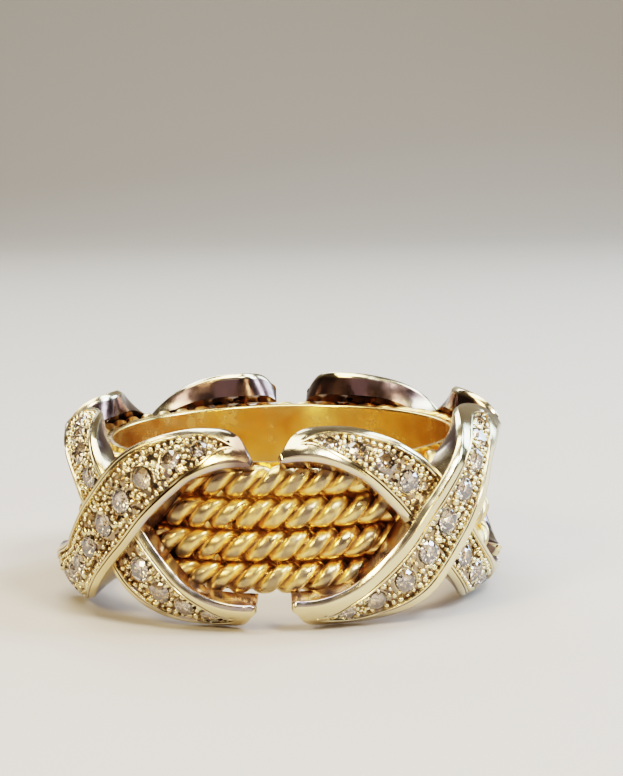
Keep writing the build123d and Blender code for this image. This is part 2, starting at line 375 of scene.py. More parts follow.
def path(shape, reach):
    """Where an arm's middle line lies: along and across the ring."""
    swing = towards_left(shape, reach, "swing")
    angle = reach * REACH_ANGLE * towards_left(shape, reach, "reach")
    return CROWN_RADIUS * angle, shape.slope * swing * np.sin(math.pi / 2 * angle / CREST_ANGLE)


def lift_at(shape, reach):
    """How far an arm stands over the crown: most where it crosses the other one."""
    overpass = shape.lift * np.exp(-((reach * REACH_ANGLE / OVERPASS_ANGLE) ** 4))
    near_left_end = smoothstep(*LEFT_LIFT_RISES, -reach) - smoothstep(*LEFT_LIFT_FALLS, -reach)
    return overpass + shape.left_lift * near_left_end


def speed(shape, reach):
    """How much of an arm's length goes to its whole reach, at one place."""
    ahead, back = path(shape, reach + SMALL_REACH), path(shape, reach - SMALL_REACH)
    return np.hypot(ahead[0] - back[0], ahead[1] - back[1]) / (2 * SMALL_REACH)


def sides(shape, reach):
    """How far an arm's upper and lower edges are from its middle line."""
    window = shape.half_width * table_value(ARM_SECTIONS, reach, "window")
    outer = shape.half_width * table_value(ARM_SECTIONS, reach, "outer")
    outer_above = shape.slope * reach > 0
    return np.where(outer_above, outer, window), np.where(outer_above, window, outer)


def field_fill(shape, reach):
    """How much of its whole width the sunk field has at a place along an arm."""
    place = reach / towards_left(shape, reach, "run")
    return table_value(FIELD_SECTIONS, place, "fill").clip(0, 1) ** towards_left(shape, reach, "taper")


def field_edges(shape, reach, fill):
    """Offsets of the sunk field's upper and lower edges from the arm's middle line."""
    upper, lower = sides(shape, reach)
    rail = towards_left(shape, reach, "rail")
    rim = table_value(ARM_SECTIONS, reach, "rim") * towards_left(shape, reach, "rim")
    middle = (rail + rim) / 2
    change = np.clip(np.abs(reach) / ARM_SECTIONS[1].reach, 0, 1) * (rail - rim) / 2
    towards_window = np.where(shape.slope * reach > 0, change, -change)
    upper = upper - middle + towards_window
    lower = lower - middle - towards_window
    centre, half = (upper - lower) / 2, np.maximum(upper + lower, 0) / 2 * fill
    return centre + half, centre - half


def arm_points(shape, reach, offset, height):
    """Places on an arm at the ring's front, from offsets to its upper side and heights over the crown."""
    back, ahead = path(shape, reach - SMALL_REACH), path(shape, reach + SMALL_REACH)
    length = np.hypot(ahead[0] - back[0], ahead[1] - back[1])
    along, across = path(shape, reach)
    along = along - offset * (ahead[1] - back[1]) / length
    across = across + offset * (ahead[0] - back[0]) / length
    radius, level = crown_profile(across, height + lift_at(shape, reach))
    turn = along / CROWN_RADIUS
    return np.stack([radius * np.sin(turn), -radius * np.cos(turn), MIDDLE + level], -1)


def seats(shape):
    """Reach, offset and radius of each stone of an arm, from one tip to the other."""
    rows = [row for row in reversed(shape.stones) if row.reach > 0]
    places = [(-row.reach, row.size) for row in rows] + [(row.reach, row.size) for row in shape.stones]
    found = []
    for reach, size in places:
        upper, lower = field_edges(shape, np.array(reach), 1.0)
        found.append((reach, float(upper + lower) / 2, STONE_DIAMETER * size / 2))
    return found


def depth_to_ropes(shape, reach, offset):
    """How deep an arm may go under the crown before it meets the ropes, at most its own depth."""
    room = ROPE_RADIUS + ROPE_GAP
    lift = lift_at(shape, reach)
    depth = np.full(np.broadcast(reach, offset).shape, ARM_DEPTH)
    for share in np.linspace(1, 0, DEPTH_TRIES):
        points = arm_points(shape, reach, offset, -ARM_DEPTH * share - lift)
        radius = np.hypot(points[..., 0], points[..., 1])
        away = np.maximum(np.abs(points[..., 2] - MIDDLE) - OUTER_ROPE, 0)
        out = np.maximum(radius - ROPE_CENTRE, 0)
        inside = (np.hypot(out, away) < room) & (away < room)
        depth = np.where(inside, ARM_DEPTH * share, depth)
    return depth


def put_in_scene(name, data):
    """A new object that shows a mesh, a lamp or a camera."""
    made = bpy.data.objects.new(name, data)
    bpy.context.scene.collection.objects.link(made)
    return made


def new_object(name, verts, faces):
    """A mesh object in the scene, from points in metres."""
    corners = np.asarray(verts).reshape(-1, 3).tolist()
    mesh = bpy.data.meshes.new(name)
    mesh.from_pydata(corners, [], [tuple(int(i) for i in face) for face in faces])
    mesh.update()
    return put_in_scene(name, mesh)


def point_outwards(piece):
    """Turns the faces of a closed mesh outwards and shades it smooth."""
    shape = bmesh.new()
    shape.from_mesh(piece.data)
    bmesh.ops.recalc_face_normals(shape, faces=shape.faces)
    shape.to_mesh(piece.data)
    shape.free()
    piece.data.shade_smooth()
    piece.data.set_sharp_from_angle(angle=SHARP_ANGLE)


def add_number(mesh, name, values):
    """Stores one number for each vertex, which the materials read."""
    layer = mesh.attributes.new(name, "FLOAT", "POINT")
    layer.data.foreach_set("value", np.asarray(values, dtype=np.float32).ravel())


def tube_faces(rows, columns, closed_ends=True):
    """Faces of a grid whose columns close into a ring; its ends are capped, or joined to each other."""
    faces = []
    spans = rows - 1 if closed_ends else rows
    for row in range(spans):
        here, ahead = row * columns, (row + 1) % rows * columns
        for column in range(columns):
            right = (column + 1) % columns
            faces.append((here + column, here + right, ahead + right, ahead + column))
    if closed_ends:
        faces.append(tuple(range(columns)))
        faces.append(tuple(reversed(range((rows - 1) * columns, rows * columns))))
    return faces


def rail_columns(edge, field, side, opened):
    """Columns from an arm's edge to its sunk field: a rounded corner, a rail and an engraved line."""
    first = edge - side * RAIL_BEVEL[-1][0]
    outer = field + side * (LINE_INSET + LINE_WIDTH)
    inner = field + side * LINE_INSET
    # Each column holds an offset, a drop, an amount of painted shade and an amount of bright cut
    columns = [(edge - side * inset, -drop, 0, 0) for inset, drop in RAIL_BEVEL]
    columns += [(first + (outer - first) * part, 0, 0, 0) for part in RAIL_PARTS]
    # The engraved line's groove gets full painted shade, the field's edge a little
    columns += [
        ((outer + inner) / 2, -LINE_DEPTH * opened, opened, 0),
        (inner, 0, 0, 0),
        ((inner + field) / 2, 0, 0, 0),
        (field, 0, LINE_SHADE * opened, 0),
    ]
    return columns


def away_from(shape, centre, middle, reach, offset):
    """How far places on an arm are from the middle of a stone."""
    return np.hypot((reach - centre) * speed(shape, centre), offset - middle)


def arm_top(shape, reach):
    """Offset, height, painted shade and bright cuts over an arm's top, from its lower edge to its upper one.
    """
    upper, lower = sides(shape, reach)
    fill = field_fill(shape, reach)
    high, low = field_edges(shape, reach, fill)
    opened = smoothstep(*FIELD_OPENS, fill)
    wall = np.minimum(FIELD_WALL, (high - low) * FIELD_WALL_SHARE)
    columns = rail_columns(-lower, low, -1, opened)
    # The sunk field gets painted shade
    for part in np.linspace(0, 1, FIELD_COLUMNS):
        place = low + wall + (high - low - 2 * wall) * part
        columns.append((place, -FIELD_DEPTH * opened, FIELD_SHADE * opened, opened))
    columns += reversed(rail_columns(upper, high, 1, opened))
    offset, height, dark, cut = (
        np.stack([column[part] + 0 * reach for column in columns], 1) for part in range(4)
    )
    # Painted shade that darkens the upper tip of the arm
    tip_shaded = shape.tip_tone * smoothstep(*SHADED_TIP, shape.slope * reach)
    dark = dark + (1 - dark) * tip_shaded[:, None]
    to_tip = (1 - np.abs(reach)) * speed(shape, np.ones(1))
    inside = np.clip(TIP_ROUND - to_tip, 0, TIP_ROUND)
    height = height - (TIP_ROUND - np.sqrt(TIP_ROUND ** 2 - inside ** 2))[:, None]
    for centre, middle, radius in seats(shape):
        away = away_from(shape, centre, middle, reach[:, None], offset) - radius - STONE_GAP
        cone = np.maximum(2 * STONE_PAVILION * away - GIRDLE_DEPTH, -SEAT_DEPTH)
        height = np.where(away < 0, np.minimum(height, cone), height)
        # The stones' seats get their own amount of painted shade, and no bright cuts
        seated = smoothstep(SEAT_EDGE, -SEAT_EDGE, away)
        dark = dark + (SEAT_SHADE - dark) * seated
        cut = cut * (1 - seated)
    return offset, height, dark, cut


def arm_back(shape, reach, upper, lower, flare):
    """Offset, height and painted shade over an arm's back, which follows the ropes and is drilled under the
    stones.
    """
    place = reach[:, None]
    share = np.linspace(0, 1, BASE_COLUMNS)[None, :]
    offset = (upper + flare)[:, None] - share * (upper + lower + 2 * flare)[:, None]
    height = -depth_to_ropes(shape, place, offset) - lift_at(shape, place)
    # The back, hidden against the ropes, is painted nearly black with shade, and its holes under the stones
    # fully
    dark = np.full(offset.shape, BACK_SHADE)
    for centre, middle, radius in seats(shape):
        away = away_from(shape, centre, middle, place, offset) - radius * HOLE_SHARE
        hole = smoothstep(HOLE_EDGE, -HOLE_EDGE, away)
        height = height + hole * (-SEAT_DEPTH - HOLE_SINK - height)
        dark = np.maximum(dark, hole)
    return offset, height, dark


def arm_wall(shape, reach, edge, side, flare, foot, share):
    """Offset, height and painted shade down one side wall of an arm, and how much of the wall faces the
    window.
    """
    outwards = (side * shape.slope * reach)[:, None]
    by_window = smoothstep(*WINDOW_WALL, -outwards)
    # Painted shade on the walls: more by the window, towards the tips on the outer side, and towards the foot
    painted_wall_shade = WINDOW_WALL_SHADE * by_window + TIP_WALL_SHADE * smoothstep(*TIP_WALL, outwards)
    top = RAIL_BEVEL[0][1]
    offset = edge[:, None] + side * flare[:, None] * share
    return (offset, -top + (foot + top) * share, WALL_SHADE + painted_wall_shade + WALL_FOOT_SHADE * share), by_window


def arm_surface(shape):
    """Rings of points round an arm, one for each step along it, with painted shade, bright cuts and grey
    reflection.
    """
    reach = np.linspace(-1, 1, ARM_STEPS)
    upper, lower = sides(shape, reach)
    flare = WALL_FLARE * smoothstep(*FLARE_OPENS, (upper + lower) / shape.half_width)
    *top, cut = arm_top(shape, reach)
    back = arm_back(shape, reach, upper, lower, flare)
    share = np.array(WALL_STEPS)[None, :]
    above, above_grey = arm_wall(shape, reach, upper, 1, flare, back[1][:, :1], share)
    below, below_grey = arm_wall(shape, reach, -lower, -1, flare, back[1][:, -1:], share[:, ::-1])
    offset, height, dark = (np.concatenate(parts, 1) for parts in zip(top, above, back, below))
    points = arm_points(shape, reach[:, None], offset, height)
    # Walls and back are painted dark with shade past the ropes' edges
    past_ropes = smoothstep(*PAST_ROPES, np.abs(points[..., 2] - MIDDLE))
    columns, steps = cut.shape[1], len(WALL_STEPS)
    dark[:, columns:] = np.maximum(dark[:, columns:], past_ropes[:, columns:])
    cut = np.pad(cut, ((0, 0), (0, offset.shape[1] - columns)))
    # The walls by the window, with the rail columns next to them, get a painted grey reflection
    grey = np.zeros(dark.shape)
    grey[:, columns - EDGE_COLUMNS:columns + steps] = above_grey
    grey[:, :EDGE_COLUMNS] = grey[:, -steps:] = below_grey
    return points, dark, cut, grey


def turned(points, number):
    """Points of the front cross, turned to where that cross lies on the ring."""
    angle = 2 * math.pi / CROSS_COUNT * (number - 1.5)
    c, s = math.cos(angle), math.sin(angle)
    return points @ np.array([[c, -s, 0], [s, c, 0], [0, 0, 1]]).T


def build_cross(number):
    """Both arms of one cross, fused as one piece of white metal."""
    # Each cross carries its painted shade, bright cuts and painted grey reflection as numbers on its vertices
    verts, faces, marks = [], [], {"cleft": [], "bright_cut": [], "rubbed": []}
    for shape in arms_of(number):
        points, *found = arm_surface(shape)
        first = sum(len(part) for part in verts)
        verts.append(turned(points, number).reshape(-1, 3))
        faces += [tuple(first + corner for corner in face) for face in tube_faces(*points.shape[:2])]
        for parts, values in zip(marks.values(), found):
            parts.append(values.ravel())
    piece = new_object("cross_form_%d" % number, np.concatenate(verts), faces)
    point_outwards(piece)
    for title, parts in marks.items():
        add_number(piece.data, title, np.concatenate(parts))
    return piece


def field_frame(shape, number, reach, offset, height):
    """Place, outward direction and direction along the arm at one spot of an arm of one cross."""
    reach, offset = np.array(reach, float), np.array(offset, float)
    here = arm_points(shape, reach, offset, height)
    out = arm_points(shape, reach, offset, height + SMALL_HEIGHT) - here
    along = arm_points(shape, reach + SMALL_REACH, offset, height) - here
    found = here, out / np.linalg.norm(out), along / np.linalg.norm(along)
    return [turned(row, number) for row in found]


def stone_places(number):
    """Girdle centres of a cross's stones, with the directions they face and their diameters."""
    rows = []
    for shape in arms_of(number):
        for reach, middle, radius in seats(shape):
            rows.append((*field_frame(shape, number, reach, middle, -GIRDLE_DEPTH), 2 * radius))
    return rows


def bead_lane(shape, reach):
    """Offsets of the outermost beads at one place along an arm."""
    high, low = field_edges(shape, np.array(reach), field_fill(shape, np.array(reach)))
    return float(high) - BEAD_INSET, float(low) + BEAD_INSET


def bead_spots(shape, held, chance):
    """Where beads may stand on an arm: rows along both sides, pairs between stones, and some that fill in."""
    first, last = -FIELD_END * (shape.left_run or shape.run), FIELD_END * shape.run
    spots = []
    reach = first
    while reach < last:
        high, low = bead_lane(shape, reach)
        if high > low:
            spots += [(reach, high, 1.0), (reach, low, 1.0)]
        reach += BEAD_PITCH / float(speed(shape, reach))
    for (reach_a, offset_a, radius_a), (reach_b, offset_b, radius_b) in zip(held, held[1:]):
        spread = PAIR_SPREAD * (radius_a + radius_b) / 2
        middle = (offset_a + offset_b) / 2
        for side in (-1, 1):
            spots.append(((reach_a + reach_b) / 2, middle + side * spread, PAIR_SIZE))
    lowest, highest = (first, 0, LOOSE_SIZES[0]), (last, 1, LOOSE_SIZES[1])
    for reach, share, size in chance.uniform(lowest, highest, (LOOSE_BEADS, 3)):
        high, low = bead_lane(shape, reach)
        if high > low:
            spots.append((reach, low + (high - low) * share, size))
    return spots


def bead_places(number):
    """Places, facings, headings and sizes of a cross's beads, which stand wherever a spot is still free."""
    chance = np.random.default_rng(number)
    rows = []
    for shape in arms_of(number):
        held = seats(shape)
        hidden = HIDDEN_REACH if shape.slope < 0 else 0
        kept = []
        for reach, offset, size in bead_spots(shape, held, chance):
            pace = float(speed(shape, reach))
            own = BEAD_RADIUS * size
            to_stone = min(math.hypot((reach - c) * pace, offset - m) - r for c, m, r in held)
            to_bead = min((math.hypot((reach - c) * pace, offset - m) - r for c, m, r in kept), default=1)
            if abs(reach) < hidden or to_stone < STONE_ROOM * own or to_bead < BEAD_ROOM * own:
                continue
            kept.append((reach, offset, own))
            height = BEAD_RAISE * own - FIELD_DEPTH
            rows.append((*field_frame(shape, number, reach, offset, height), size))
    return rows


def points_object(name, rows):
    """A mesh of bare points that carry a facing, a direction and a size, for a node tree to put things on."""
    places, facing, heading, sizes = zip(*rows)
    mesh = bpy.data.meshes.new(name)
    mesh.from_pydata([tuple(place) for place in places], [], [])
    for title, vectors in (("facing", facing), ("heading", heading)):
        layer = mesh.attributes.new(title, "FLOAT_VECTOR", "POINT")
        layer.data.foreach_set("vector", np.asarray(vectors, dtype=np.float32).ravel())
    add_number(mesh, "size", sizes)
    return put_in_scene(name, mesh)


def brilliant():
    """A round brilliant of unit diameter: table, star, main and girdle facets, its girdle at height 0."""
    table, low, fold = STONE_TABLE / 2, -GIRDLE_THICK, STONE_FOLD
    flat = math.cos(math.pi / fold)
    crown_slope = STONE_CROWN / (0.5 - table)
    star_level = crown_slope * (0.5 - STONE_STAR * flat)
    keel_level = -STONE_PAVILION + (STONE_PAVILION + low) * STONE_KEEL * flat / 0.5
    shape = bmesh.new()

    def ring(count, radius, level, start):
        """A ring of points round the stone's axis."""
        made = []
        for k in range(count):
            angle = 2 * math.pi * (k + start) / count
            made.append(shape.verts.new((radius * math.cos(angle), radius * math.sin(angle), level)))
        return made

    top = ring(fold, table, STONE_CROWN, 0)
    stars = ring(fold, STONE_STAR, star_level, 0.5)
    girdle = ring(2 * fold, 0.5, 0, 0)
    under = ring(2 * fold, 0.5, low, 0)
    keels = ring(fold, STONE_KEEL, keel_level, 0.5)
    culet = shape.verts.new((0, 0, -STONE_PAVILION))
    shape.faces.new(top)
    for k in range(fold):
        ahead, back = (k + 1) % fold, (k - 1) % fold
        shape.faces.new((top[k], stars[k], top[ahead]))
        shape.faces.new((top[k], stars[back], girdle[2 * k], stars[k]))
        shape.faces.new((stars[k], girdle[2 * k], girdle[2 * k + 1]))
        shape.faces.new((stars[k], girdle[2 * k + 1], girdle[2 * ahead]))
        shape.faces.new((culet, keels[k], under[2 * k], keels[back]))
        shape.faces.new((keels[k], under[2 * k + 1], under[2 * k]))
        shape.faces.new((keels[k], under[2 * ahead], under[2 * k + 1]))
    for k in range(2 * fold):
        ahead = (k + 1) % (2 * fold)
        shape.faces.new((girdle[k], under[k], under[ahead], girdle[ahead]))
    bmesh.ops.recalc_face_normals(shape, faces=shape.faces)
    mesh = bpy.data.meshes.new("brilliant")
    shape.to_mesh(mesh)
    shape.free()
    return put_in_scene("brilliant", mesh)


class Nodes:
    """A short way to put nodes together in a tree."""

    def __init__(self, tree):
        self.tree = tree

    def add(self, kind, links=None, **settings):
        """A node with its settings, its inputs linked or set by name or place."""
        node = self.tree.nodes.new(kind)
        for key, value in settings.items():
            setattr(node, key, value)
        for key, value in (links or {}).items():
            if isinstance(value, bpy.types.NodeSocket):
                self.tree.links.new(value, node.inputs[key])
            else:
                node.inputs[key].default_value = value
        return node

    def math(self, operation, first, second=0.0, **settings):
        """The result of one sum."""
        return self.add("ShaderNodeMath", {0: first, 1: second}, operation=operation, **settings).outputs[0]

    def vector_math(self, operation, links):
        """The result of one sum of vectors."""
        return self.add("ShaderNodeVectorMath", links, operation=operation).outputs[0]

    def ramp(self, value, limits, **settings):
        """A number that goes from 0 to 1 while a value goes from one limit to the other."""
        links = {"Value": value, "From Min": limits[0], "From Max": limits[1]}
        return self.add("ShaderNodeMapRange", links, **settings).outputs[0]


class NodePlan(Nodes):
    """A Geometry Nodes tree with named inputs."""

    def __init__(self, name, sockets):
        super().__init__(bpy.data.node_groups.new(name, "GeometryNodeTree"))
        self.tree.is_modifier = True
        face = self.tree.interface
        face.new_socket("Geometry", in_out="INPUT", socket_type="NodeSocketGeometry")
        for title, kind in sockets:
            face.new_socket(title, in_out="INPUT", socket_type="NodeSocket" + kind)
        face.new_socket("Geometry", in_out="OUTPUT", socket_type="NodeSocketGeometry")
        self.inputs = self.add("NodeGroupInput").outputs

    def finish(self, geometry, material):
        """Ends the tree in real meshes that wear the material."""
        real = self.add("GeometryNodeRealizeInstances", {"Geometry": geometry})
        worn = self.add("GeometryNodeSetMaterial", {"Geometry": real.outputs[0], "Material": material})
        self.add("NodeGroupOutput", {0: worn.outputs[0]})

    def run(self, piece, values, name):
        """Runs the tree on a piece and returns its result as a plain mesh object; the piece goes away."""
        modifier = piece.modifiers.new("plan", "NODES")
        modifier.node_group = self.tree
        for item in self.tree.interface.items_tree:
            if item.item_type == "SOCKET" and item.in_out == "INPUT" and item.name in values:
                modifier[item.identifier] = values[item.name]
        graph = bpy.context.evaluated_depsgraph_get()
        mesh = bpy.data.meshes.new_from_object(piece.evaluated_get(graph))
        mesh.name = name
        made = put_in_scene(name, mesh)
        piece.modifiers.remove(modifier)
        bpy.data.objects.remove(piece)
        return made


def rope_plan():
    """Two strands laid round each other and closed into a ring: a two-lobed section that turns as it goes."""
    plan = NodePlan("rope_plan", [
        ("Centre", "Float"), ("Level", "Float"), ("Lead", "Float"), ("Turns", "Int"), ("Radius", "Float"),
        ("Waist", "Float"), ("Fullness", "Float"), ("Samples", "Int"), ("Sides", "Int"),
        ("Material", "Material"),
    ])
    given = plan.inputs
    section = plan.add("GeometryNodeCurvePrimitiveCircle", {"Resolution": given["Sides"], "Radius": 1.0})
    angle = plan.math("MULTIPLY", plan.add("GeometryNodeSplineParameter").outputs["Factor"], 2 * math.pi)
    from_lobe = plan.math("ARCSINE", plan.math("ABSOLUTE", plan.math("SINE", angle)))
    share = plan.math("POWER", plan.math("DIVIDE", from_lobe, math.pi / 2), given["Fullness"])
    sink = plan.math("MULTIPLY", share, plan.math("SUBTRACT", 1.0, given["Waist"]))
    reach = plan.math("MULTIPLY", plan.math("SUBTRACT", 1.0, sink), given["Radius"])
    corner = plan.add("ShaderNodeCombineXYZ", {
        0: plan.math("MULTIPLY", plan.math("COSINE", angle), reach),
        1: plan.math("MULTIPLY", plan.math("SINE", angle), reach),
    })
    lobes = plan.add("GeometryNodeSetPosition", {
        "Geometry": section.outputs[0], "Position": corner.outputs[0],
    })
    circle = plan.add("GeometryNodeCurvePrimitiveCircle", {
        "Resolution": plan.math("MULTIPLY", given["Turns"], given["Samples"]), "Radius": given["Centre"],
    })
    upright = plan.add("GeometryNodeSetCurveNormal", {"Curve": circle.outputs[0]}, mode="Z_UP")
    round_share = plan.math("ADD", plan.add("GeometryNodeSplineParameter").outputs["Factor"], ROPE_START)
    laid = plan.math("ADD", plan.math("MULTIPLY", round_share, given["Turns"]), given["Lead"])
    twist = plan.math("MULTIPLY", laid, TWIST_WAY * 2 * math.pi)
    turning = plan.add("GeometryNodeSetCurveTilt", {"Curve": upright.outputs[0], "Tilt": twist})
    level = plan.add("ShaderNodeCombineXYZ", {2: given["Level"]})
    lifted = plan.add("GeometryNodeTransform", {
        "Geometry": turning.outputs[0], "Translation": level.outputs[0],
    })
    rope = plan.add("GeometryNodeCurveToMesh", {
        "Curve": lifted.outputs[0], "Profile Curve": lobes.outputs[0],
    })
    place = plan.add("GeometryNodeInputPosition").outputs[0]
    x, y, z = plan.add("ShaderNodeSeparateXYZ", {0: place}).outputs
    squares = plan.math("ADD", plan.math("POWER", x, 2.0), plan.math("POWER", y, 2.0))
    outwards = plan.math("SUBTRACT", plan.math("SQRT", squares), given["Centre"])
    upwards = plan.math("SUBTRACT", z, given["Level"])
    from_core = plan.math("SQRT", plan.math(
        "ADD", plan.math("MULTIPLY", outwards, outwards), plan.math("MULTIPLY", upwards, upwards)
    ))

    def smooth_ramp(distance, limits):
        """A smooth rise over shares of the rope's radius."""
        share = plan.math("DIVIDE", distance, given["Radius"])
        return plan.ramp(share, limits, interpolation_type="SMOOTHSTEP")

    # Painted shade in the clefts between the lobes, and a painted grey reflection on the crests that face
    # outwards
    stored = plan.add("GeometryNodeStoreNamedAttribute", {
        "Geometry": rope.outputs[0], "Name": "cleft", "Value": smooth_ramp(from_core, ROPE_PAINTED_SHADE),
    })
    crest, front = smooth_ramp(from_core, ROPE_CREST), smooth_ramp(outwards, ROPE_FRONT)
    rubbed = plan.add("GeometryNodeStoreNamedAttribute", {
        "Geometry": stored.outputs[0], "Name": "rubbed", "Value": plan.math("MULTIPLY", crest, front),
    })
    plan.finish(rubbed.outputs[0], given["Material"])
    return plan


def setting_plan(name, pattern):
    """Copies of one small shape, each turned to the facing and heading of its point."""
    plan = NodePlan(name, [
        ("Size", "Float"), ("Seed", "Int"), ("Variation", "Float"), ("Material", "Material"),
    ] + ([("Pattern", "Object")] if pattern else []))
    given = plan.inputs
    if pattern:
        shape = plan.add("GeometryNodeObjectInfo", {"Object": given["Pattern"]}).outputs["Geometry"]
    else:
        ball = plan.add("GeometryNodeMeshUVSphere", {
            "Segments": BEAD_SIDES, "Rings": BEAD_RINGS, "Radius": 1.0,
        })
        shape = plan.add("GeometryNodeSetShadeSmooth", {"Geometry": ball.outputs[0]}).outputs[0]

    def named(title, kind):
        """One of the numbers or directions that the points carry."""
        return plan.add("GeometryNodeInputNamedAttribute", {"Name": title}, data_type=kind).outputs[0]

    facing = plan.add("FunctionNodeAxesToRotation", {
        "Primary Axis": named("facing", "FLOAT_VECTOR"), "Secondary Axis": named("heading", "FLOAT_VECTOR"),
    }, primary_axis="Z", secondary_axis="X")
    chance = plan.add("FunctionNodeRandomValue", {
        "Min": (-0.5, -0.5, -0.5), "Max": (0.5, 0.5, 0.5), "Seed": given["Seed"],
    }, data_type="FLOAT_VECTOR")
    spread = plan.vector_math("SCALE", {0: chance.outputs[0], "Scale": given["Variation"]})
    uneven = plan.vector_math("ADD", {0: spread, 1: (1.0, 1.0, 1.0)})
    size = plan.math("MULTIPLY", given["Size"], named("size", "FLOAT"))
    placed = plan.add("GeometryNodeInstanceOnPoints", {
        "Points": given["Geometry"], "Instance": shape, "Rotation": facing.outputs[0],
        "Scale": plan.vector_math("SCALE", {0: uneven, "Scale": size}),
    })
    plan.finish(placed.outputs[0], given["Material"])
    return plan


def build_band():
    """The smooth inner band, with softened edges on the finger's side."""
    top, bottom = MIDDLE + BAND_HALF, MIDDLE - BAND_HALF
    outline = [(BAND_RADIUS, bottom), (BAND_RADIUS, top)]
    for start, end, level, inwards in ((0, math.pi / 2, top, -1), (math.pi / 2, 0, bottom, 1)):
        for angle in np.linspace(start, end, BAND_EDGE_STEPS):
            outline.append((
                BORE_RADIUS + BAND_EDGE * (1 - math.sin(angle)),
                level + inwards * BAND_EDGE * (1 - math.cos(angle)),
            ))
    verts = []
    for side in range(BAND_SIDES):
        angle = 2 * math.pi * side / BAND_SIDES
        verts += [(radius * math.cos(angle), radius * math.sin(angle), level) for radius, level in outline]
    piece = new_object("inner_band_smooth", verts, tube_faces(BAND_SIDES, len(outline), False))
    point_outwards(piece)
    return piece


class Shades(Nodes):
    """The nodes of a material or of a shader group."""

    def place(self):
        """Places in the frame of the ring."""
        return self.add("ShaderNodeTexCoord").outputs["Object"]

    def noise(self, place, scale, detail):
        """A cloudy pattern of numbers round a half."""
        links = {"Vector": place, "Scale": scale, "Detail": detail}
        return self.add("ShaderNodeTexNoise", links).outputs[0]

    def marked(self, title):
        """A number that the mesh carries at each vertex."""
        return self.add("ShaderNodeAttribute", attribute_name=title).outputs["Fac"]

    def blend(self, share, first, second):
        """A colour between two others."""
        links = {"Factor": share, 6: first, 7: second}
        return self.add("ShaderNodeMix", links, data_type="RGBA").outputs[2]

    def group(self, title, links):
        """What one of the shared groups gives."""
        return self.add("ShaderNodeGroup", links, node_tree=GROUPS[title]).outputs

    def end_group(self, results):
        """Ends a group in its named outputs."""
        self.add("NodeGroupOutput", results)
        return self.tree

    def end_material(self, links):
        """Ends a material in a surface with these values."""
        shader = self.add("ShaderNodeBsdfPrincipled", links)
        self.add("ShaderNodeOutputMaterial", {"Surface": shader.outputs[0]})


def shade_group(name, inputs, outputs):
    """The nodes of a new shader group, and what its named inputs give."""
    tree = bpy.data.node_groups.new(name, "ShaderNodeTree")
    for title, kind, *value in inputs:
        socket = tree.interface.new_socket(title, in_out="INPUT", socket_type="NodeSocket" + kind)
        if value:
            socket.default_value = value[0]
    for title, kind in outputs:
        tree.interface.new_socket(title, in_out="OUTPUT", socket_type="NodeSocket" + kind)
    shades = Shades(tree)
    return shades, shades.add("NodeGroupInput").outputs


def new_material(name):
    """A material and its still empty tree of nodes."""
    material = bpy.data.materials.new(name)
    material.use_nodes = True
    material.node_tree.nodes.clear()
    return material, Shades(material.node_tree)


def wear_group():
    """Fine handling marks: a roughness that varies a little, and the height of scratches and dents."""
    shades, given = shade_group(
        "handling_marks",
        [("Least Roughness", "Float"), ("Most Roughness", "Float"), ("Patch Scale", "Float", 900.0),
         ("Scratch Scale", "Float", 5000.0), ("Dent Scale", "Float"), ("Dent Depth", "Float")],
        [("Roughness", "Float"), ("Height", "Float")],
    )
    place = shades.place()
    rough = shades.add("ShaderNodeMapRange", {
        "Value": shades.noise(place, given["Patch Scale"], 3.0),
        "From Min": PATCH_RANGE[0], "From Max": PATCH_RANGE[1],
        "To Min": given["Least Roughness"], "To Max": given["Most Roughness"],
    })
    stretch = shades.add("ShaderNodeMapping", {
        "Vector": place, "Scale": SCRATCH_STRETCH, "Rotation": SCRATCH_TURN,
    })
    scratches = shades.noise(stretch.outputs[0], given["Scratch Scale"], 2.0)
    dents = shades.math("MULTIPLY", shades.noise(place, given["Dent Scale"], 1.0), given["Dent Depth"])
    height = shades.math("ADD", dents, scratches)
    return shades.end_group({"Roughness": rough.outputs[0], "Height": height})


def painted_shade_group():
    """Metal with painted shade and painted grey reflection where marked, and a tone that varies a little."""
    shades, given = shade_group(
        "cleft_tone",
        [("Clean", "Color"), ("Second Tone", "Color"), ("Dark", "Color"), ("Depth", "Float"),
         ("Rubbed", "Color")],
        [("Color", "Color")],
    )
    place = shades.place()
    cloud = shades.ramp(shades.noise(place, CLOUD_SCALE, 2.0), CLOUD_RANGE)
    toned = shades.blend(cloud, given["Clean"], given["Second Tone"])
    # A painted grey reflection, in uneven patches, where the mesh is marked for it
    uneven = shades.ramp(shades.noise(place, GREY_REFLECTION_SCALE, 2.0), GREY_REFLECTION_RANGE)
    worn = shades.math("MULTIPLY", shades.marked("rubbed"), uneven, use_clamp=True)
    rubbed = shades.blend(worn, toned, given["Rubbed"])
    # Painted shade: where the mesh is marked for it, the colour turns towards the Dark tone
    shade_share = shades.math("MULTIPLY", shades.marked("cleft"), given["Depth"], use_clamp=True)
    return shades.end_group({"Color": shades.blend(shade_share, rubbed, given["Dark"])})


def facet_group():
    """Bright cuts: small flat cuts that each lie at their own angle, where the surface is marked for them."""
    shades, given = shade_group(
        "bright_cuts", [("Scale", "Float"), ("Tilt", "Float")], [("Normal", "Vector")]
    )
    cells = shades.add("ShaderNodeTexVoronoi", {"Vector": shades.place(), "Scale": given["Scale"]})
    centred = shades.vector_math("SUBTRACT", {0: cells.outputs["Color"], 1: (0.5, 0.5, 0.5)})
    amount = shades.math("MULTIPLY", shades.marked("bright_cut"), given["Tilt"])
    lean = shades.vector_math("SCALE", {0: centred, "Scale": amount})
    normal = shades.add("ShaderNodeNewGeometry").outputs["Normal"]
    leaning = shades.vector_math("ADD", {0: normal, 1: lean})
    return shades.end_group({"Normal": shades.vector_math("NORMALIZE", {0: leaning})})


